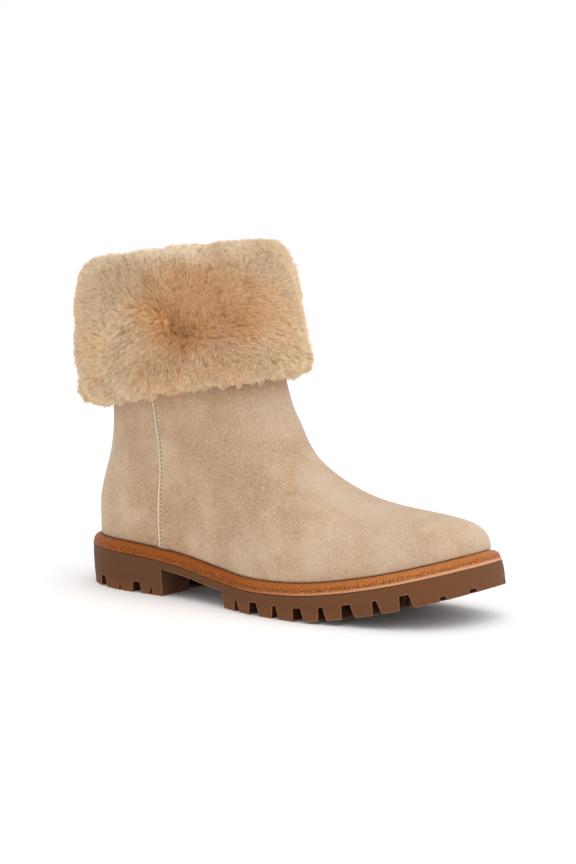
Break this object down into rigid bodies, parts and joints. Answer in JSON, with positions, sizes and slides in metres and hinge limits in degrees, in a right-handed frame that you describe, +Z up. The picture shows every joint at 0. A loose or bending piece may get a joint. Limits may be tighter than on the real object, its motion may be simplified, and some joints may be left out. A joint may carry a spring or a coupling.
{
  "type": "sheepskin boot",
  "caption": "Pull-on ankle boot for the right foot: suede upper, fleece cuff folded down at the top, leather midsole with a rounded welt edge and a lugged rubber outsole.",
  "frame": {"origin": "on the floor, under the middle of the boot's bounding box", "axes": "+X from heel to toe, +Y to the inner side of the foot, +Z up"},
  "size_m": [0.2878, 0.1246, 0.2163],
  "materials": {
    "outsole": "matte brown rubber",
    "midsole": "satin tan leather with a ribbed edge",
    "insole": "short woven fleece",
    "upper": "matte sand suede, fleece side in",
    "cuff": "deep soft fleece, sand with rust roots"
  },
  "bodies": {
    "root": {"outsole": "outsole", "midsole": "midsole", "insole": "insole", "upper": "upper", "cuff": "cuff"}
  },
  "joints": []
}
